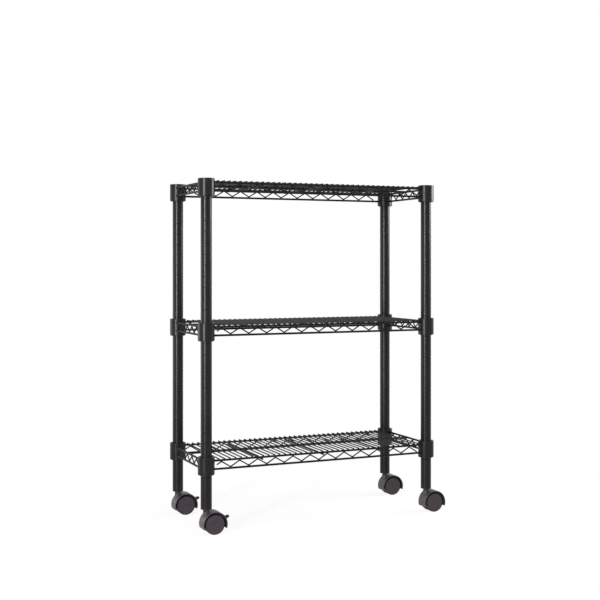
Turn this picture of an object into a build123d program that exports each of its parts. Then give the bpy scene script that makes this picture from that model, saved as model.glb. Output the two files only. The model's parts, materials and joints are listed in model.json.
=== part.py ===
from build123d import *
import os
from math import asin, atan2, cos, radians, sin, sqrt

# Wire shelving rack on four twin-wheel casters, in millimetres.
# X runs along the long side, Y from the front to the back and Z up.
# The origin is on the floor, midway between the four posts.

# Posts
POST_SPAN_X = 565.0
POST_SPAN_Y = 212.0
POST_DIAMETER = 25.4
POST_WALL = 1.2
GROOVE_PITCH = 24.9
GROOVE_WIDTH = 1.6
GROOVE_DEPTH = 0.4
CAP_FLANGE = 2.5
CAP_PLUG = 12.0
CAP_ROUND = 1.0
INSERT_LENGTH = 28.0

# Shelf places: the lowest shelf above the floor, and how many grooves up from it each shelf sits
LOWEST_SHELF = 153.8
SHELF_GROOVES = {"lower": 0, "middle": 12, "upper": 25}

# Tapered split sleeves and the collars that sit on them
COLLAR_HEIGHT = 40.0
COLLAR_WALL = 2.5
COLLAR_EDGE = 0.8
SLEEVE_TOP_WALL = 2.6
SLEEVE_FOOT_WALL = 3.4
SLEEVE_SPLIT = 1.0
SLEEVE_LIP = 1.0
SLEEVE_SINK = 2.0
SLEEVE_GRIP = 0.1
RIDGE_HEIGHT = 0.4
RIDGE_WIDTH = 1.2
SEAT_CLEARANCE = 0.3

# Shelf wires, with heights from the middle of the collars
RAIL_WIRE = 4.8
RAIL_OFFSET = 7.5
TOP_RAIL_HEIGHT = 11.0
BOTTOM_RAIL_DROP = 8.0
ZIGZAG_WIRE = 3.0
ZIGZAG_BEND = 4.0
ZIGZAG_CUT_GAP = 5.0
ZIGZAG_BENT_GAP = 12.0
LONG_APEXES = 12
SHORT_APEXES = 5
DECK_WIRE = 3.0
DECK_WIRES = 39
DECK_END_GAP = 9.0
BRACE_WIRE = 4.0
BRACE_SPACING = 3.5
MIDDLE_BRACE = 5.75
WELD = 0.2

# Casters, with the hood's wrap in degrees below the axle
WHEEL_DIAMETER = 45.6
WHEEL_WIDTH = 8.9
WHEEL_FACE = 2.0
WHEEL_RIM = 3.0
WHEEL_HUB = 11.0
WHEEL_EDGE = 1.2
WHEEL_SIDE_GAP = 0.5
AXLE_DIAMETER = 6.0
AXLE_END_GAP = 0.5
AXLE_CHAMFER = 0.6
TRAIL = 16.8
CORE_WIDTH = 9.0
CORE_BOSS = 16.0
HOOD_GAP = 4.2
HOOD_WALL = 1.6
HOOD_OVERHANG = 2.6
HOOD_EDGE = 0.6
HOOD_FRONT_WRAP = 19.0
HOOD_BACK_WRAP = 20.0
NECK_DIAMETER = 15.0
POST_CLEARANCE = 5.6
NUT_WIDTH = 13.0
NUT_HEIGHT = 5.0
SWIVEL_GAP = 0.5
SHANK_DIAMETER = 7.0
SHANK_DROP = 1.5
THREAD_DIAMETER = 10.0
THREAD_LENGTH = 24.0
RUNNING = 0.05

# Brake levers, with places measured from the axle and angles in degrees
LEVER_WIDTH = 5.0
LEVER_SIDE_GAP = 0.2
LEVER_BOSS = 6.0
LEVER_TIP = 6.0
LEVER_REACH = 34.0
LEVER_RISE = 13.5
PIVOT_ANGLE = 20.0
PIVOT_INSET = 4.2
TRUNNION = 3.0
BRAKE_TRAVEL = 14.0
BAR_DIAMETER = 3.0
BAR_ANGLE = 30.0
BAR_GAP = 0.8
BAR_LENGTH = 21.0
BAR_WINDOW = 0.5
SLOT_START = -2.0
SLOT_END = 48.0
SLOT_INSET = 4.5

# Sizes that follow from those above
POST_R = POST_DIAMETER / 2
POST_BORE = POST_R - POST_WALL
SLEEVE_BORE = POST_R + SLEEVE_GRIP
SLEEVE_TOP_R = SLEEVE_BORE + SLEEVE_TOP_WALL
SLEEVE_FOOT_R = SLEEVE_BORE + SLEEVE_FOOT_WALL
COLLAR_R = SLEEVE_FOOT_R + SEAT_CLEARANCE + COLLAR_WALL
RAIL_R = RAIL_WIRE / 2
RAIL_X = POST_SPAN_X / 2 + RAIL_OFFSET
RAIL_Y = POST_SPAN_Y / 2 + RAIL_OFFSET
COLLAR_REACH = sqrt(COLLAR_R ** 2 - RAIL_OFFSET ** 2)
CLEAR_X = POST_SPAN_X - 2 * COLLAR_REACH
CLEAR_Y = POST_SPAN_Y - 2 * COLLAR_REACH
WHEEL_R = WHEEL_DIAMETER / 2
HOOD_BORE = WHEEL_R + HOOD_GAP
HOOD_R = HOOD_BORE + HOOD_WALL
CORE_HALF = CORE_WIDTH / 2
WHEEL_INNER = CORE_HALF + WHEEL_SIDE_GAP
HOOD_HALF = WHEEL_INNER + WHEEL_WIDTH + HOOD_OVERHANG
AXLE_R = AXLE_DIAMETER / 2
AXLE_HALF = WHEEL_INNER + WHEEL_WIDTH - WHEEL_FACE - AXLE_END_GAP
POST_FOOT = WHEEL_R + HOOD_R + POST_CLEARANCE
NUT_FOOT = POST_FOOT - NUT_HEIGHT
NECK_TOP = NUT_FOOT - SWIVEL_GAP
SHANK_FOOT = WHEEL_R - SHANK_DROP
SHELVES = {level: LOWEST_SHELF + steps * GROOVE_PITCH for level, steps in SHELF_GROOVES.items()}
RACK_TOP = SHELVES["upper"] + COLLAR_HEIGHT / 2
POST_TOP = RACK_TOP - CAP_FLANGE
BAR_R = BAR_DIAMETER / 2
BAR_PLACE = WHEEL_R - WHEEL_RIM - BAR_GAP - BAR_R
PIVOT_PLACE = BAR_PLACE - PIVOT_INSET

CORNERS = {
    "front_left": (-1, -1),
    "front_right": (1, -1),
    "back_left": (-1, 1),
    "back_right": (1, 1),
}
BRAKED = ("front_left", "back_left")
UPRIGHT = (Align.CENTER, Align.CENTER, Align.MIN)
ON_AXIS = (Align.NONE, Align.NONE, Align.CENTER)
HALF_TURN = 180


def corner_place(corner):
    """Floor point under one post."""
    side_x, side_y = CORNERS[corner]
    return Pos(side_x * POST_SPAN_X / 2, side_y * POST_SPAN_Y / 2, 0)


def spun(points):
    """Solid of revolution about Z from an outline of (radius, height) points."""
    return revolve(Plane.XZ * make_face(Polyline(*points, close=True)), axis=Axis.Z)


def upright(radius, foot, top):
    """Upright cylinder between two heights."""
    return Pos(0, 0, foot) * Cylinder(radius, top - foot, align=UPRIGHT)


def rod(start, end, diameter):
    """Straight wire between two points."""
    start, end = Vector(*start), Vector(*end)
    run = end - start
    return Plane(origin=start, z_dir=run) * Cylinder(diameter / 2, run.length, align=UPRIGHT)


def rim_edges(solid, radius):
    """Circular edges of one radius."""
    return [edge for edge in solid.edges().filter_by(GeomType.CIRCLE) if abs(edge.radius - radius) < 0.01]


# Posts and what closes their ends
def post():
    """Tube with a rolled groove at each shelf step."""
    outline = [(POST_BORE, POST_FOOT), (POST_R, POST_FOOT)]
    steps_below = int((SHELVES["lower"] - POST_FOOT - GROOVE_WIDTH) // GROOVE_PITCH)
    lowest = SHELVES["lower"] - steps_below * GROOVE_PITCH
    count = steps_below + SHELF_GROOVES["upper"] + 1
    for step in range(count):
        middle = lowest + step * GROOVE_PITCH
        outline += [
            (POST_R, middle - GROOVE_WIDTH / 2),
            (POST_R - GROOVE_DEPTH, middle - GROOVE_WIDTH / 4),
            (POST_R - GROOVE_DEPTH, middle + GROOVE_WIDTH / 4),
            (POST_R, middle + GROOVE_WIDTH / 2),
        ]
    outline += [(POST_R, POST_TOP), (POST_BORE, POST_TOP)]
    return spun(outline)


def post_cap():
    """Plug with a thin crown, level with the top collars."""
    crown = upright(POST_R, POST_TOP, RACK_TOP)
    top_edge = crown.edges().sort_by(Axis.Z)[-1]
    crown = fillet(top_edge, CAP_ROUND)
    return crown + upright(POST_BORE, POST_TOP - CAP_PLUG, POST_TOP)


def post_insert():
    """Threaded plug in the foot of a post."""
    plug = upright(POST_BORE, POST_FOOT, POST_FOOT + INSERT_LENGTH)
    return plug - upright(THREAD_DIAMETER / 2, POST_FOOT, POST_FOOT + INSERT_LENGTH)


def sleeve_pair(middle):
    """Two tapered half sleeves around a post, with a ridge in its groove."""
    foot = middle - COLLAR_HEIGHT / 2 - SLEEVE_LIP
    top = middle + COLLAR_HEIGHT / 2 - SLEEVE_SINK
    ridge_r = SLEEVE_BORE - RIDGE_HEIGHT
    tapered = spun([
        (SLEEVE_BORE, foot),
        (SLEEVE_FOOT_R, foot),
        (SLEEVE_TOP_R, top),
        (SLEEVE_BORE, top),
        (SLEEVE_BORE, middle + RIDGE_WIDTH / 2),
        (ridge_r, middle + RIDGE_WIDTH / 4),
        (ridge_r, middle - RIDGE_WIDTH / 4),
        (SLEEVE_BORE, middle - RIDGE_WIDTH / 2),
    ])
    split = Pos(0, 0, middle) * Box(3 * COLLAR_R, SLEEVE_SPLIT, 2 * COLLAR_HEIGHT)
    return (tapered - split).solids()


# Shelf pieces, each at its own height
def collar(middle):
    """Short tube with a tapered bore that wedges on its sleeves."""
    foot, top = middle - COLLAR_HEIGHT / 2, middle + COLLAR_HEIGHT / 2
    slope = (SLEEVE_FOOT_R - SLEEVE_TOP_R) / (COLLAR_HEIGHT + SLEEVE_LIP - SLEEVE_SINK)
    foot_bore = SLEEVE_FOOT_R + SEAT_CLEARANCE - slope * SLEEVE_LIP
    top_bore = foot_bore - slope * COLLAR_HEIGHT
    return spun([
        (foot_bore, foot),
        (COLLAR_R - COLLAR_EDGE, foot),
        (COLLAR_R, foot + COLLAR_EDGE),
        (COLLAR_R, top - COLLAR_EDGE),
        (COLLAR_R - COLLAR_EDGE, top),
        (top_bore, top),
    ])


def rails(height):
    """Front, back, left and right rails, cut to meet the collars."""
    half_x, half_y = POST_SPAN_X / 2, POST_SPAN_Y / 2
    runs = [((-half_x, side * RAIL_Y, height), (half_x, side * RAIL_Y, height)) for side in (-1, 1)]
    runs += [((side * RAIL_X, -half_y, height), (side * RAIL_X, half_y, height)) for side in (-1, 1)]
    wires = [rod(start, end, RAIL_WIRE) for start, end in runs]
    for corner in CORNERS:
        cut = corner_place(corner) * upright(COLLAR_R - WELD, height - RAIL_WIRE, height + RAIL_WIRE)
        wires = [wire - cut for wire in wires]
    return wires


def top_rails(middle):
    """Rails under the deck, with a lengthwise centre wire between the left and right ones."""
    height = middle + TOP_RAIL_HEIGHT
    reach = RAIL_X - RAIL_R
    return rails(height) + [rod((-reach, 0, height), (reach, 0, height), RAIL_WIRE)]


def zigzag_pitch(clear, apexes):
    """Pitch of a zigzag with its first end cut half way up and its last end at the bottom rail."""
    return (clear - ZIGZAG_CUT_GAP - ZIGZAG_BENT_GAP) / (apexes - 0.25)


def zigzag(clear, apexes):
    """Bent wire along X, centred between the rails, with its first end half way up."""
    pitch = zigzag_pitch(clear, apexes)
    half_rise = (TOP_RAIL_HEIGHT + BOTTOM_RAIL_DROP) / 2 - RAIL_R - ZIGZAG_WIRE / 2 + WELD
    arc_rise = 2 * (half_rise - ZIGZAG_BEND)
    arc_step = sqrt(arc_rise ** 2 + (pitch / 2) ** 2)
    slope = atan2(arc_rise, pitch / 2) + asin(2 * ZIGZAG_BEND / arc_step)
    corner_rise = half_rise - ZIGZAG_BEND + ZIGZAG_BEND / cos(slope)
    start = -clear / 2 + ZIGZAG_CUT_GAP
    points = [(start, 0)]
    for turn in range(2 * apexes):
        points.append((start + pitch / 4 + turn * pitch / 2, corner_rise if turn % 2 == 0 else -corner_rise))
    last_x, last_z = points[-1]
    trim = (corner_rise - half_rise) / corner_rise
    points[-1] = (last_x - trim * pitch / 4, last_z * (1 - trim))
    path = FilletPolyline(*[(x, 0, z) for x, z in points], radius=ZIGZAG_BEND)
    section = Plane(origin=path @ 0, z_dir=path % 0) * Circle(ZIGZAG_WIRE / 2)
    return sweep(section, path=path)


def truss_height(middle):
    """Height of the line midway between the rails."""
    return middle + (TOP_RAIL_HEIGHT - BOTTOM_RAIL_DROP) / 2


def long_zigzags(middle):
    """Front and back truss wires."""
    wire = zigzag(CLEAR_X, LONG_APEXES)
    height = truss_height(middle)
    return [Pos(0, side * RAIL_Y, height) * wire for side in (-1, 1)]


def short_zigzags(middle):
    """Left and right truss wires."""
    wire = zigzag(CLEAR_Y, SHORT_APEXES)
    height = truss_height(middle)
    return [Pos(side * RAIL_X, 0, height) * Rot(0, 0, -90) * wire for side in (-1, 1)]


def deck_wires(middle):
    """Thin wires from front to back, lying on the top rails."""
    height = middle + TOP_RAIL_HEIGHT + RAIL_R + DECK_WIRE / 2 - WELD
    reach = RAIL_Y + RAIL_R
    first = -CLEAR_X / 2 + DECK_END_GAP
    pitch = -2 * first / (DECK_WIRES - 1)
    places = [first + number * pitch for number in range(DECK_WIRES)]
    return [rod((x, -reach, height), (x, reach, height), DECK_WIRE) for x in places]


def braces(middle):
    """Front-to-back wires under the top rails and the centre wire."""
    height = middle + TOP_RAIL_HEIGHT - RAIL_R - BRACE_WIRE / 2 + WELD
    reach = RAIL_Y + RAIL_R
    pitch = zigzag_pitch(CLEAR_X, LONG_APEXES)
    first_apex = -CLEAR_X / 2 + ZIGZAG_CUT_GAP + pitch / 4
    centre = first_apex + MIDDLE_BRACE * pitch
    places = [centre + step * BRACE_SPACING * pitch for step in (-1, 0, 1)]
    return [rod((x, -reach, height), (x, reach, height), BRACE_WIRE) for x in places]


# Caster pieces, each with its stem on the Z axis
AXLE = Pos(TRAIL, 0, WHEEL_R)
ACROSS = AXLE * Rot(90, 0, 0)


def polar(radius, angle):
    """Point of the caster's side view, from the axle, as a place across the caster."""
    return AXLE * Pos(radius * cos(radians(angle)), 0, radius * sin(radians(angle))) * Rot(90, 0, 0)


def pressed(place, angle):
    """A place on the brake lever after the lever has turned down about its pivot."""
    pivot = polar(PIVOT_PLACE, PIVOT_ANGLE)
    return pivot * Rot(0, 0, -angle) * pivot.inverse() * place


def ring_sector(inner, outer, start, end, width):
    """Part of a ring about the axle, between two angles above the trailing side."""
    ring = Cylinder(outer, width) - Cylinder(inner, 2 * width)
    wedge = Rot(0, 0, start) * Cylinder(2 * outer, width, arc_size=end - start, align=ON_AXIS)
    return ACROSS * (ring & wedge)


def hood(braked):
    """Moulded cover over both wheels, with a core between them and a neck for the stem."""
    back, front = -HOOD_BACK_WRAP, HALF_TURN + HOOD_FRONT_WRAP
    shell = ring_sector(HOOD_BORE, HOOD_R, back, front, 2 * HOOD_HALF)
    shell = fillet(rim_edges(shell, HOOD_R), HOOD_EDGE)
    neck = upright(NECK_DIAMETER / 2, SHANK_FOOT, NECK_TOP) - ACROSS * Cylinder(HOOD_BORE, 4 * HOOD_HALF)
    core = ring_sector(AXLE_R, HOOD_BORE + HOOD_WALL / 2, back, front, CORE_WIDTH)
    boss = ACROSS * Cylinder(CORE_BOSS / 2, CORE_WIDTH)
    body = shell + neck + core + boss
    body -= upright(SHANK_DIAMETER / 2 + RUNNING, SHANK_FOOT - SWIVEL_GAP, NECK_TOP)
    body -= ACROSS * Cylinder(AXLE_R, 2 * CORE_WIDTH)
    if braked:
        slot_width = LEVER_WIDTH + 2 * LEVER_SIDE_GAP
        body -= ring_sector(PIVOT_PLACE - SLOT_INSET, 2 * HOOD_R, SLOT_START, SLOT_END, slot_width)
        body -= polar(PIVOT_PLACE, PIVOT_ANGLE) * Cylinder(TRUNNION / 2 + RUNNING, CORE_WIDTH)
        window = Cylinder(BAR_R + BAR_WINDOW, 2 * CORE_WIDTH)
        for angle in (0, BRAKE_TRAVEL / 2, BRAKE_TRAVEL):
            body -= pressed(polar(BAR_PLACE, BAR_ANGLE), angle) * window
    return body


def stem():
    """Steel stem: thread in the post, hexagon under it and plain shank in the neck."""
    hexagon = Pos(0, 0, NUT_FOOT) * extrude(RegularPolygon(NUT_WIDTH / sqrt(3), 6), NUT_HEIGHT)
    thread = upright(THREAD_DIAMETER / 2, POST_FOOT, POST_FOOT + THREAD_LENGTH)
    return upright(SHANK_DIAMETER / 2, SHANK_FOOT, NUT_FOOT) + hexagon + thread


def axle():
    """Steel pin through the core, with an end in each wheel."""
    pin = Cylinder(AXLE_R, 2 * AXLE_HALF)
    return ACROSS * chamfer(rim_edges(pin, AXLE_R), AXLE_CHAMFER)


def wheel(side):
    """Dished wheel with a closed outer face, on one side of the core."""
    depth = WHEEL_WIDTH - WHEEL_FACE
    disc = spun([
        (AXLE_R + RUNNING, 0),
        (WHEEL_HUB / 2, 0),
        (WHEEL_HUB / 2, depth),
        (WHEEL_R - WHEEL_RIM, depth),
        (WHEEL_R - WHEEL_RIM, 0),
        (WHEEL_R, 0),
        (WHEEL_R, WHEEL_WIDTH),
        (0, WHEEL_WIDTH),
        (0, depth),
        (AXLE_R + RUNNING, depth),
    ])
    disc = fillet(rim_edges(disc, WHEEL_R), WHEEL_EDGE)
    return AXLE * Pos(0, side * WHEEL_INNER, 0) * Rot(-side * 90, 0, 0) * disc


def brake_lever():
    """Pedal on trunnions in the core, with a bar that reaches into both wheels."""
    pivot, bar = polar(PIVOT_PLACE, PIVOT_ANGLE), polar(BAR_PLACE, BAR_ANGLE)
    side_view = [
        (PIVOT_PLACE * cos(radians(PIVOT_ANGLE)), PIVOT_PLACE * sin(radians(PIVOT_ANGLE)), LEVER_BOSS / 2),
        (BAR_PLACE * cos(radians(BAR_ANGLE)), BAR_PLACE * sin(radians(BAR_ANGLE)), LEVER_BOSS / 2),
        (LEVER_REACH, LEVER_RISE, LEVER_TIP / 2),
    ]
    rounds = [Pos(x, z) * Circle(radius) for x, z, radius in side_view]
    outline = make_hull([edge for circle in rounds for edge in circle.edges()])
    plate = Pos(0, 0, -LEVER_WIDTH / 2) * extrude(outline, LEVER_WIDTH)
    lever = ACROSS * plate
    lever += pivot * Cylinder(TRUNNION / 2, CORE_WIDTH)
    lever += bar * Cylinder(BAR_R, BAR_LENGTH)
    return lever


# Every node, with its solids
def frame_nodes():
    nodes = {}
    for corner in CORNERS:
        place = corner_place(corner)
        nodes[f"post_{corner}"] = [place * post()]
        nodes[f"post_cap_{corner}"] = [place * post_cap()]
        nodes[f"post_insert_{corner}"] = [place * post_insert()]
        nodes[f"caster_stem_{corner}"] = [place * stem()]
    for level, middle in SHELVES.items():
        pair = sleeve_pair(middle)
        nodes[f"{level}_sleeves"] = [corner_place(corner) * half for corner in CORNERS for half in pair]
    return nodes


def shelf_nodes():
    nodes = {}
    for level, middle in SHELVES.items():
        ring = collar(middle)
        nodes[f"{level}_collars"] = [corner_place(corner) * ring for corner in CORNERS]
        nodes[f"{level}_top_rails"] = top_rails(middle)
        nodes[f"{level}_bottom_rails"] = rails(middle - BOTTOM_RAIL_DROP)
        nodes[f"{level}_long_zigzags"] = long_zigzags(middle)
        nodes[f"{level}_short_zigzags"] = short_zigzags(middle)
        nodes[f"{level}_deck_wires"] = deck_wires(middle)
        nodes[f"{level}_braces"] = braces(middle)
    return nodes


def caster_nodes():
    nodes = {}
    for corner in CORNERS:
        place = corner_place(corner)
        nodes[f"caster_hood_{corner}"] = [place * hood(corner in BRAKED)]
        nodes[f"caster_axle_{corner}"] = [place * axle()]
        nodes[f"near_wheel_{corner}"] = [place * wheel(-1)]
        nodes[f"far_wheel_{corner}"] = [place * wheel(1)]
        if corner in BRAKED:
            nodes[f"brake_lever_{corner}"] = [place * brake_lever()]
    return nodes


os.makedirs("parts", exist_ok=True)
for name, pieces in {**frame_nodes(), **shelf_nodes(), **caster_nodes()}.items():
    solids = [solid for piece in pieces for solid in piece.solids()]
    export_step(Compound(solids) if len(solids) > 1 else solids[0], f"parts/{name}.step")
    print(name, len(solids))
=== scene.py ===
# %% [markdown]
# A wire shelving rack on casters
#
# The rack arrives as a finished model: posts, collars, wires and casters, each a piece of its own.
# This lesson dresses it. It adds the small welds that hold the wires together, gives every piece the
# finish that its real material has, and then sets the floor, the light and the camera, so that the rack
# looks as it does in a plain studio photograph.

import json
from math import radians

import bmesh
import bpy
from mathutils import Matrix, Vector


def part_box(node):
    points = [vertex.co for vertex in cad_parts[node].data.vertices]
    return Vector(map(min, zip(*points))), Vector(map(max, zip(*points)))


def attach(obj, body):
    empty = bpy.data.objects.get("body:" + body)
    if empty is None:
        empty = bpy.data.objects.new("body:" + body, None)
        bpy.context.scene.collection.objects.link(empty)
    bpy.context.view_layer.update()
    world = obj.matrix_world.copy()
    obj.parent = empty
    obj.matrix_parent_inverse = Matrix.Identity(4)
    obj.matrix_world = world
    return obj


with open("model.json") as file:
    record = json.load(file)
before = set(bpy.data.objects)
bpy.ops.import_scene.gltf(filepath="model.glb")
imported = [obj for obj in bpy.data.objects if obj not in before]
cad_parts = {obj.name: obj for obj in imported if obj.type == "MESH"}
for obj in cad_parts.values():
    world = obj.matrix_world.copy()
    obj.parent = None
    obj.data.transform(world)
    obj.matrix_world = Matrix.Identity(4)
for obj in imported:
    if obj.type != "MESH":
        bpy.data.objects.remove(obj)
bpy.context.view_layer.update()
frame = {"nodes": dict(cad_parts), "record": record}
nodes = frame["nodes"]

# %% [markdown]
# Colours and shader nodes
#
# Colours are easiest to read as the hex values of a paint chart, but a shader works in linear light. One
# function turns the one into the other, along a curve that is straight near black and a power above it. One
# more adds a shader node with its settings and links. Inputs go by their names, or by their places where
# names repeat.

# %% Colour and node helpers
SRGB_KNEE = 0.04045
SRGB_SLOPE = 12.92
SRGB_OFFSET = 0.055
SRGB_POWER = 2.4


def linear(hex_colour):
    """An sRGB hex colour as linear red, green, blue and alpha."""
    channels = [int(hex_colour[place:place + 2], 16) / 255 for place in (1, 3, 5)]
    bent = [
        channel / SRGB_SLOPE
        if channel <= SRGB_KNEE
        else ((channel + SRGB_OFFSET) / (1 + SRGB_OFFSET)) ** SRGB_POWER
        for channel in channels
    ]
    return (*bent, 1.0)


def add_node(tree, kind, settings=None, links=None):
    """One shader node, with its settings and the sockets that feed it."""
    node = tree.nodes.new(kind)
    for name, value in (settings or {}).items():
        if isinstance(name, int) or name in node.inputs:
            node.inputs[name].default_value = value
        else:
            setattr(node, name, value)
    for name, source in (links or {}).items():
        tree.links.new(source, node.inputs[name])
    return node


print("black in linear light", linear("#101010"))

# %% [markdown]
# One way to build every finish
#
# Each finish here is a skin over a solid: a colour that drifts a little, a gloss that drifts with it, and
# a fine relief. The drift is one wide noise that mixes two close colours and moves the roughness between
# two values. The relief is one narrow noise that feeds a bump. Both noises take their scale from a size in
# millimetres, so a finish looks the same on a thin wire and on a post. A Mix node has sockets for numbers,
# vectors and colours under the same names, so the places of those for colours are named first.

# %% A finish with drift and relief
MILLIMETRE = 0.001
MIX_FACTOR, MIX_FIRST, MIX_SECOND = 0, 6, 7
MIX_COLOUR = 2
NOISE_LOW, NOISE_HIGH = 0.3, 0.7
DRIFT_DETAIL = 3.0
RELIEF_DETAIL = 2.0


def make_finish(name, colours, gloss, drift_mm, relief_mm, relief_depth_mm, metallic=0.0, specular=0.5):
    """A new material: two close colours, a range of roughness, and a relief of a real size."""
    material = bpy.data.materials.new(name)
    material.use_nodes = True
    material.diffuse_color = linear(colours[0])
    tree = material.node_tree
    shader = tree.nodes["Principled BSDF"]
    shader.inputs["Metallic"].default_value = metallic
    shader.inputs["Specular IOR Level"].default_value = specular
    place = {"Vector": add_node(tree, "ShaderNodeTexCoord").outputs["Object"]}

    slow = {"Scale": 1 / (drift_mm * MILLIMETRE), "Detail": DRIFT_DETAIL}
    wide = add_node(tree, "ShaderNodeTexNoise", slow, place)
    evened = {"From Min": NOISE_LOW, "From Max": NOISE_HIGH}
    drift = add_node(tree, "ShaderNodeMapRange", evened, {"Value": wide.outputs["Fac"]}).outputs["Result"]
    shades = {"data_type": "RGBA", MIX_FIRST: linear(colours[0]), MIX_SECOND: linear(colours[1])}
    shade = add_node(tree, "ShaderNodeMix", shades, {MIX_FACTOR: drift})
    tree.links.new(shade.outputs[MIX_COLOUR], shader.inputs["Base Color"])
    dulling = {"To Min": gloss[0], "To Max": gloss[1]}
    roughness = add_node(tree, "ShaderNodeMapRange", dulling, {"Value": drift})
    tree.links.new(roughness.outputs["Result"], shader.inputs["Roughness"])

    narrow = {"Scale": 1 / (relief_mm * MILLIMETRE), "Detail": RELIEF_DETAIL}
    fine = add_node(tree, "ShaderNodeTexNoise", narrow, place)
    depth = {"Strength": 1.0, "Distance": relief_depth_mm * MILLIMETRE}
    bump = add_node(tree, "ShaderNodeBump", depth, {"Height": fine.outputs["Fac"]})
    tree.links.new(bump.outputs["Normal"], shader.inputs["Normal"])
    return material


print("noise from", NOISE_LOW, "to", NOISE_HIGH, "is spread over the whole drift")

# %% [markdown]
# Powder coat
#
# The posts, collars and wires are steel under black powder coat: dry paint, melted on in an oven. It flows
# out smooth and glossy but keeps a faint orange peel, a ripple a few millimetres across and a few thousandths
# of a millimetre deep. The slow drift stands for the film's uneven thickness. The wires have a look of their
# own: a ripple fine enough for a thin round, and a duller gloss, so that they stay black against the white
# room.

# %% Black powder coat
tube_coat = make_finish(
    "glossy_black_powder_coat", ("#0d090b", "#130f11"), gloss=(0.27, 0.33),
    drift_mm=35, relief_mm=3.5, relief_depth_mm=0.004, specular=0.19,
)
wire_coat = make_finish(
    "thin_black_powder_coat", ("#0a0708", "#100c0e"), gloss=(0.42, 0.50),
    drift_mm=25, relief_mm=1.4, relief_depth_mm=0.002, specular=0.12,
)
print("powder coats", tube_coat.name, "and", wire_coat.name)

# %% [markdown]
# Moulded nylon
#
# The caps, sleeves and caster parts are injection-moulded nylon. The mould gives each its surface: the hoods
# come from a polished one and shine softly, the wheels are a greyer black with a satin face, and the caps,
# sleeves and levers are plain satin. A mould's spark-worn grain is about a tenth of a millimetre, too fine to
# show here, so it is drawn near half a millimetre.

# %% Moulded nylon
satin_nylon = make_finish(
    "satin_moulded_black_nylon", ("#110f10", "#171516"), gloss=(0.42, 0.50),
    drift_mm=12, relief_mm=0.5, relief_depth_mm=0.004, specular=0.25,
)
hood_nylon = make_finish(
    "polished_moulded_black_nylon", ("#2f292d", "#373135"), gloss=(0.40, 0.48),
    drift_mm=14, relief_mm=0.6, relief_depth_mm=0.002, specular=0.36,
)
wheel_nylon = make_finish(
    "satin_moulded_charcoal_nylon", ("#2e282c", "#342e32"), gloss=(0.42, 0.50),
    drift_mm=10, relief_mm=0.5, relief_depth_mm=0.003, specular=0.20,
)
lever_nylon = make_finish(
    "satin_moulded_lever_nylon", ("#161516", "#1c1b1c"), gloss=(0.38, 0.46),
    drift_mm=8, relief_mm=0.5, relief_depth_mm=0.004, specular=0.35,
)
print("nylon", ", ".join(nylon.name for nylon in (satin_nylon, hood_nylon, wheel_nylon, lever_nylon)))

# %% [markdown]
# Where the axles are
#
# Each wheel is a charcoal disc with a band of black painted near its rim, as painted shade on the wheel's
# rounded edge. Both are one piece, so the colour changes with the distance from the axle. All the casters
# point the same way, so the left and the right axles are equally far from one upright plane. Folding the rack
# there lays every axle on one line, and one material serves all eight wheels.

# %% Axles and discs
# The width of the black band painted near each wheel's rim as shade on its rounded edge.
EDGE_SHADE_WIDTH = 1.9 * MILLIMETRE

left_low, left_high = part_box("near_wheel_front_left")
right_low, right_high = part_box("near_wheel_front_right")
left_axle, right_axle = (left_low + left_high) / 2, (right_low + right_high) / 2
fold = (left_axle + right_axle) / 2
half_span = (right_axle.x - left_axle.x) / 2
disc_radius = (left_high.z - left_low.z) / 2 - EDGE_SHADE_WIDTH
print("axles", half_span, "m from the fold, discs of radius", disc_radius)

# %% [markdown]
# Painted shade on the wheel's edge
#
# Four Vector Math nodes do the folding. They measure from the fold, drop the sign, measure on from the axle
# and drop the direction that the axle runs in. The length of what is left is the distance from the axle. Past
# the disc, a Mix node turns the charcoal into black: painted shade on the wheel's rounded edge.

# %% Painted edge shade on the wheels
# Painted shade: the black of the band near the rim, and how far it blends into the charcoal.
EDGE_SHADE_BLEND = 0.2 * MILLIMETRE
EDGE_SHADE_COLOUR = "#0d0b0c"

tree = wheel_nylon.node_tree
shader = tree.nodes["Principled BSDF"]
spot = add_node(tree, "ShaderNodeTexCoord").outputs["Object"]
for operation, amount in (
    ("SUBTRACT", (fold.x, 0, fold.z)),
    ("ABSOLUTE", (0, 0, 0)),
    ("SUBTRACT", (half_span, 0, 0)),
    ("MULTIPLY", (1, 0, 1)),
):
    folding = {"operation": operation, 1: amount}
    spot = add_node(tree, "ShaderNodeVectorMath", folding, {0: spot}).outputs["Vector"]
radius = add_node(tree, "ShaderNodeVectorMath", {"operation": "LENGTH"}, {0: spot}).outputs["Value"]
band = {"From Min": disc_radius, "From Max": disc_radius + EDGE_SHADE_BLEND}
painted_edge_shade = add_node(tree, "ShaderNodeMapRange", band, {"Value": radius}).outputs["Result"]
disc_colour = shader.inputs["Base Color"].links[0].from_socket
# The Mix lays the painted edge shade over the disc's own colour.
black = {"data_type": "RGBA", MIX_SECOND: linear(EDGE_SHADE_COLOUR)}
wheel_colour_and_edge_shade = add_node(tree, "ShaderNodeMix", black, {MIX_FACTOR: painted_edge_shade, MIX_FIRST: disc_colour})
tree.links.new(wheel_colour_and_edge_shade.outputs[MIX_COLOUR], shader.inputs["Base Color"])
print("painted_edge_shade", EDGE_SHADE_WIDTH, "m wide outside a disc of radius", disc_radius)

# %% [markdown]
# Blackened steel
#
# The stems and axles are turned steel, dipped to grow a thin black oxide. They keep a metal's clear
# reflection, only darker, and the oxide wanders between blue black and brown black over a few millimetres.

# %% Black oxide steel
oxide_steel = make_finish(
    "black_oxide_turned_steel", ("#3a3b40", "#47433f"), gloss=(0.28, 0.40),
    drift_mm=4, relief_mm=0.4, relief_depth_mm=0.002, metallic=1.0,
)
print("oxide steel", oxide_steel.name)

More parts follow.
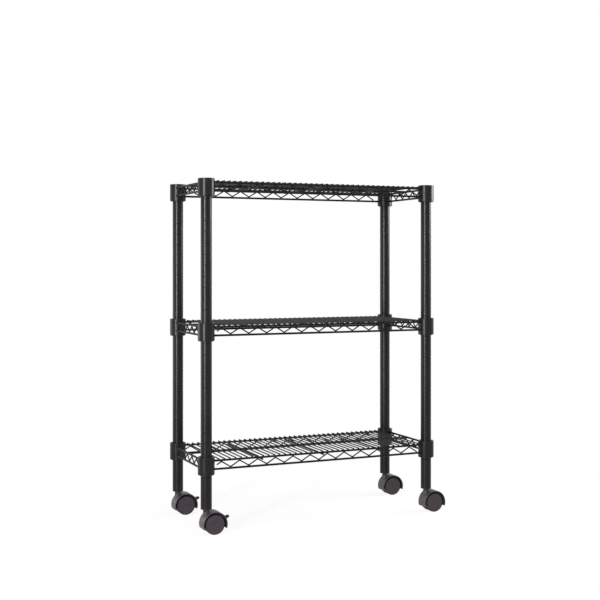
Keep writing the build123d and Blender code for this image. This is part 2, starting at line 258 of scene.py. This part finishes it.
# %% [markdown]
# Every piece takes its finish
#
# The record names a finish for each piece, so the pieces are dressed by that name in one loop. Only the
# powder coat has two looks, one for the tubes and one for the wires, and a piece's name says which it is.

# %% Dress the pieces
WIRE_ENDINGS = ("rails", "zigzags", "wires", "braces")
FINISHES = {
    "black_coat": tube_coat,
    "black_plastic": satin_nylon,
    "hood_plastic": hood_nylon,
    "wheel_plastic": wheel_nylon,
    "lever_plastic": lever_nylon,
    "dark_steel": oxide_steel,
}

for entry in frame["record"]["subparts"]:
    mesh = nodes[entry["node"]].data
    finish = wire_coat if entry["node"].endswith(WIRE_ENDINGS) else FINISHES[entry["material_slot"]]
    mesh.materials.clear()
    mesh.materials.append(finish)

# %% [markdown]
# Where wires are welded
#
# A wire shelf is welded at every crossing: current melts the two wires into each other, and a little metal is
# squeezed out as a bead, which the powder coat then rounds over. The beads are small, so they are best placed
# by measuring the wires. The deck wires are evenly spaced between the ends of their box, and the rails give
# the other direction.

# %% Crossings of straight wires
DECK_WIRES = 39


def deck_crossings(level):
    """Points where the deck wires lie on the front rail, the centre wire and the back rail."""
    deck_low, deck_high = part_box(f"{level}_deck_wires")
    rail_low, rail_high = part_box(f"{level}_top_rails")
    wire = (deck_high.z - deck_low.z) / 2
    rail = (rail_high.z - rail_low.z) / 2
    pitch = (deck_high.x - deck_low.x - 2 * wire) / (DECK_WIRES - 1)
    runs = [deck_low.x + wire + number * pitch for number in range(DECK_WIRES)]
    rows = (rail_low.y + rail, 0.0, rail_high.y - rail)
    return [Vector((x, y, deck_low.z)) for x in runs for y in rows]


print(len(deck_crossings("lower")), "deck welds on each shelf")

# %% [markdown]
# Where bent wires touch
#
# The truss wires touch the rails at the tops and bottoms of their bends. The bends are found from the mesh:
# the points near its highest or lowest level come in clusters, one to a bend, and the middle of each cluster
# is a touch.

# %% Touches of the truss wires
ALONG_X, ALONG_Y = 0, 1
BEND_BAND = 0.4 * MILLIMETRE
BEND_SPACING = 8 * MILLIMETRE


def truss_touches(node, run_axis):
    """Points where the bends of one pair of truss wires meet the rails."""
    across = ALONG_Y if run_axis == ALONG_X else ALONG_X
    points = [vertex.co for vertex in nodes[node].data.vertices]
    low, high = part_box(node)
    touches = []
    for level in (low.z, high.z):
        near = [point for point in points if abs(point.z - level) < BEND_BAND]
        for side in (-1, 1):
            bend = [point for point in near if point[across] * side > 0]
            bend.sort(key=lambda point: point[run_axis])
            clusters = [[bend[0]]]
            for point in bend[1:]:
                if point[run_axis] - clusters[-1][-1][run_axis] > BEND_SPACING:
                    clusters.append([])
                clusters[-1].append(point)
            for cluster in clusters:
                middle = sum(cluster, Vector()) / len(cluster)
                touches.append(Vector((middle.x, middle.y, level)))
    return touches


for truss, axis in (("long", ALONG_X), ("short", ALONG_Y)):
    print(len(truss_touches(f"lower_{truss}_zigzags", axis)), truss, "truss touches on each shelf")

# %% [markdown]
# Where rails meet the collars
#
# Each rail butts against a round collar a little off its centre, and a flat ring of weld closes that joint.
# The collar's radius, the post's middle and the rail's line give the meeting point by one right-angled
# triangle. The centre wire under the deck ends on the two short rails, with the same ring.

# %% Joints of rails and collars
def rail_joints(level):
    """Points where the rails and the centre wire end, each with the axis that its wire runs along."""
    collar_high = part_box(f"{level}_collars")[1]
    post_low, post_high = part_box("post_back_right")
    post = (post_low + post_high) / 2
    radius = collar_high.x - post.x
    joints = []
    for kind in ("top_rails", "bottom_rails"):
        low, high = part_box(f"{level}_{kind}")
        height = (low.z + high.z) / 2
        rail = (high.z - low.z) / 2
        offset = high.x - rail - post.x
        reach = (radius ** 2 - offset ** 2) ** 0.5
        for side_x in (-1, 1):
            for side_y in (-1, 1):
                long_end = Vector((side_x * (post.x - reach), side_y * (high.y - rail), height))
                short_end = Vector((side_x * (high.x - rail), side_y * (post.y - reach), height))
                joints += [(long_end, ALONG_X), (short_end, ALONG_Y)]
        if kind == "top_rails":
            centre_end = high.x - 2 * rail
            joints += [(Vector((side_x * centre_end, 0.0, height)), ALONG_X) for side_x in (-1, 1)]
    return joints


print(len(rail_joints("lower")), "rail joints on each shelf")

# %% [markdown]
# The welds themselves
#
# A bead is a small flattened ball. Nearly two hundred of them stand on one shelf, so each has only a few
# dozen faces, and smooth shading does the rest. All the beads of a shelf are one piece, which moves with that
# shelf.

# %% Weld beads
LEVELS = ("lower", "middle", "upper")
BEAD = (2.0 * MILLIMETRE, 2.0 * MILLIMETRE, 0.9 * MILLIMETRE)
RING = 3.1 * MILLIMETRE
RING_DEPTH = 1.0 * MILLIMETRE
RINGS = {ALONG_X: (RING_DEPTH, RING, RING), ALONG_Y: (RING, RING_DEPTH, RING)}
BEAD_SIDES = 8
BEAD_ROWS = 5


def add_bead(beads, place, radii):
    """One flattened ball at a place."""
    shape = Matrix.Translation(place) @ Matrix.Diagonal((*radii, 1.0))
    bmesh.ops.create_uvsphere(beads, u_segments=BEAD_SIDES, v_segments=BEAD_ROWS, radius=1.0, matrix=shape)


for level in LEVELS:
    beads = bmesh.new()
    long_touches = truss_touches(f"{level}_long_zigzags", ALONG_X)
    short_touches = truss_touches(f"{level}_short_zigzags", ALONG_Y)
    places = deck_crossings(level) + long_touches + short_touches
    for place in places:
        add_bead(beads, place, BEAD)
    for place, axis in rail_joints(level):
        add_bead(beads, place, RINGS[axis])
    for face in beads.faces:
        face.smooth = True
    weld_mesh = bpy.data.meshes.new(f"{level}_welds")
    beads.to_mesh(weld_mesh)
    beads.free()
    weld_mesh.materials.append(wire_coat)
    welds = bpy.data.objects.new(f"{level}_welds", weld_mesh)
    bpy.context.scene.collection.objects.link(welds)
    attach(welds, f"{level}_shelf")
    print(level, "shelf:", len(places), "beads,", len(weld_mesh.polygons), "faces")

# %% [markdown]
# Who is looking
#
# A product photograph has a white floor in a white room. If both were that white as lights too, black would
# turn grey, so they are white only to the eye. Light Path tells a shader which kind of ray is looking at it:
# one that the camera sees by, straight, in a reflection or through glass, or one that only gathers light.

# %% Rays that see white
WHITE = "#ffffff"
WHITE_STRENGTH = 1.0


def white_rays(tree):
    """One where the camera looks, straight, in a reflection or through glass, and nought elsewhere."""
    ray = add_node(tree, "ShaderNodeLightPath")
    larger = {"operation": "MAXIMUM"}
    seen = {0: ray.outputs["Is Camera Ray"], 1: ray.outputs["Is Glossy Ray"]}
    both = add_node(tree, "ShaderNodeMath", larger, seen).outputs[0]
    through = {0: both, 1: ray.outputs["Is Transmission Ray"]}
    return add_node(tree, "ShaderNodeMath", larger, through).outputs[0]


print("the eye sees", WHITE, "at strength", WHITE_STRENGTH)

# %% [markdown]
# Floor
#
# The floor is one large sheet of paper, so large that its far edge is almost at the horizon. A grid of one
# face is enough.

# %% Floor sheet
FLOOR_SIZE = 400.0

floor_mesh = bpy.data.meshes.new("floor")
sheet = bmesh.new()
bmesh.ops.create_grid(sheet, x_segments=1, y_segments=1, size=FLOOR_SIZE / 2)
sheet.to_mesh(floor_mesh)
sheet.free()
floor = bpy.data.objects.new("floor", floor_mesh)
bpy.context.scene.collection.objects.link(floor)
print("floor", FLOOR_SIZE, "m")

# %% [markdown]
# Floor paper
#
# The paper scatters light and keeps the rack's soft shadow, and it also shows the camera a white of its own.
# Under the rack a part of the paper's own shade is left in, where the shadow lies, and farther out the white
# takes over, so the floor meets the white background with no edge.

# %% Floor paper
PAPER = "#f2f2f2"
SHADE_REACH = 0.35
WHITE_REACH = 1.1
WHITE_UNDER_RACK = 0.88

floor_paper = bpy.data.materials.new("white_floor_paper")
floor_paper.use_nodes = True
tree = floor_paper.node_tree
tree.nodes.clear()
paper = add_node(tree, "ShaderNodeBsdfDiffuse", {"Color": linear(PAPER)})
glow = add_node(tree, "ShaderNodeEmission", {"Color": linear(WHITE), "Strength": WHITE_STRENGTH})
spot = add_node(tree, "ShaderNodeTexCoord").outputs["Object"]
away = add_node(tree, "ShaderNodeVectorMath", {"operation": "LENGTH"}, {0: spot}).outputs["Value"]
reach = {"From Min": SHADE_REACH, "From Max": WHITE_REACH, "To Min": WHITE_UNDER_RACK, "To Max": 1.0}
whiter = add_node(tree, "ShaderNodeMapRange", reach, {"Value": away}).outputs["Result"]
share = add_node(tree, "ShaderNodeMath", {"operation": "MULTIPLY"}, {0: white_rays(tree), 1: whiter})
layers = {0: share.outputs[0], 1: paper.outputs[0], 2: glow.outputs[0]}
mix = add_node(tree, "ShaderNodeMixShader", None, layers)
add_node(tree, "ShaderNodeOutputMaterial", None, {"Surface": mix.outputs[0]})
floor_mesh.materials.append(floor_paper)
print("shade within", SHADE_REACH, "m, plain white past", WHITE_REACH, "m")

# %% [markdown]
# The room
#
# The white room is the world. Where the camera or a reflection looks at it, it is plain white, and as a
# light on the rack it is dimmer, so that black stays black.

# %% White room
ROOM_LIGHT = 0.5

world = bpy.data.worlds.new("white_studio")
bpy.context.scene.world = world
world.use_nodes = True
tree = world.node_tree
tree.nodes.clear()
room = add_node(tree, "ShaderNodeBackground", {"Color": linear(WHITE), "Strength": ROOM_LIGHT})
backdrop = add_node(tree, "ShaderNodeBackground", {"Color": linear(WHITE), "Strength": WHITE_STRENGTH})
layers = {0: white_rays(tree), 1: room.outputs[0], 2: backdrop.outputs[0]}
mix = add_node(tree, "ShaderNodeMixShader", None, layers)
add_node(tree, "ShaderNodeOutputWorld", None, {"Surface": mix.outputs[0]})
print("room light", ROOM_LIGHT)

# %% [markdown]
# Soft boxes
#
# Black gloss shows the lamps around it more than the light that falls on it. A wide soft box, low and behind
# on the left, lays a broad grey sheen on the left of every post. A tall narrow one nearer to the camera draws
# a thin bright line beside it. One on the right gives the upper posts and the collars a faint edge, and one
# overhead opens up the decks and the tops of the casters.

# %% Soft boxes
RACK_MIDDLE = (0, 0, 0.4)
SOFT_BOXES = {
    "left_soft_box": {"place": (-1.7, 1.2, 0.40), "width": 1.6, "height": 0.76, "watts": 8},
    "strip_soft_box": {"place": (-2.25, -1.79, 0.80), "width": 0.14, "height": 1.56, "watts": 96},
    "right_soft_box": {"place": (2.2, -0.45, 1.15), "width": 0.9, "height": 0.8, "watts": 48},
    "top_soft_box": {"place": (-0.2, -0.9, 2.6), "width": 1.8, "height": 1.4, "watts": 22},
}


def soft_box(name, place, width, height, watts):
    """One rectangular lamp, turned to face the middle of the rack."""
    lamp = bpy.data.lights.new(name, "AREA")
    lamp.shape = "RECTANGLE"
    lamp.size, lamp.size_y = width, height
    lamp.energy = watts
    holder = bpy.data.objects.new(name, lamp)
    holder.location = place
    holder.rotation_mode = "QUATERNION"
    holder.rotation_quaternion = (Vector(RACK_MIDDLE) - Vector(place)).to_track_quat("-Z", "Y")
    bpy.context.scene.collection.objects.link(holder)


for name, box in SOFT_BOXES.items():
    soft_box(name, **box)
print(len(SOFT_BOXES), "soft boxes")

# %% [markdown]
# Camera
#
# The photograph keeps the posts upright, so the camera looks level and the frame is shifted down a little
# instead of tilting the camera. A new camera looks straight down, and a quarter turn makes it level. Its
# place comes from fitting the rack's posts to the picture.

# %% Camera
IMAGE_SIDE = 600
FOCAL_PIXELS = 1086.0
HORIZON_ROW = 264.2
QUARTER_TURN = 90
CAMERA_TURN = 23.7
CAMERA_PLACE = (-1.0665, -2.4135, 0.604)
SENSOR = 36.0

camera_data = bpy.data.cameras.new("camera")
camera_data.sensor_width = SENSOR
camera_data.lens = SENSOR * FOCAL_PIXELS / IMAGE_SIDE
camera_data.shift_y = (HORIZON_ROW - IMAGE_SIDE / 2) / IMAGE_SIDE
camera = bpy.data.objects.new("camera", camera_data)
camera.location = CAMERA_PLACE
camera.rotation_euler = (radians(QUARTER_TURN), 0, radians(-CAMERA_TURN))
bpy.context.scene.collection.objects.link(camera)
bpy.context.scene.camera = camera
bpy.context.scene.view_settings.view_transform = "Standard"
print("lens", camera_data.lens, "shift", camera_data.shift_y)
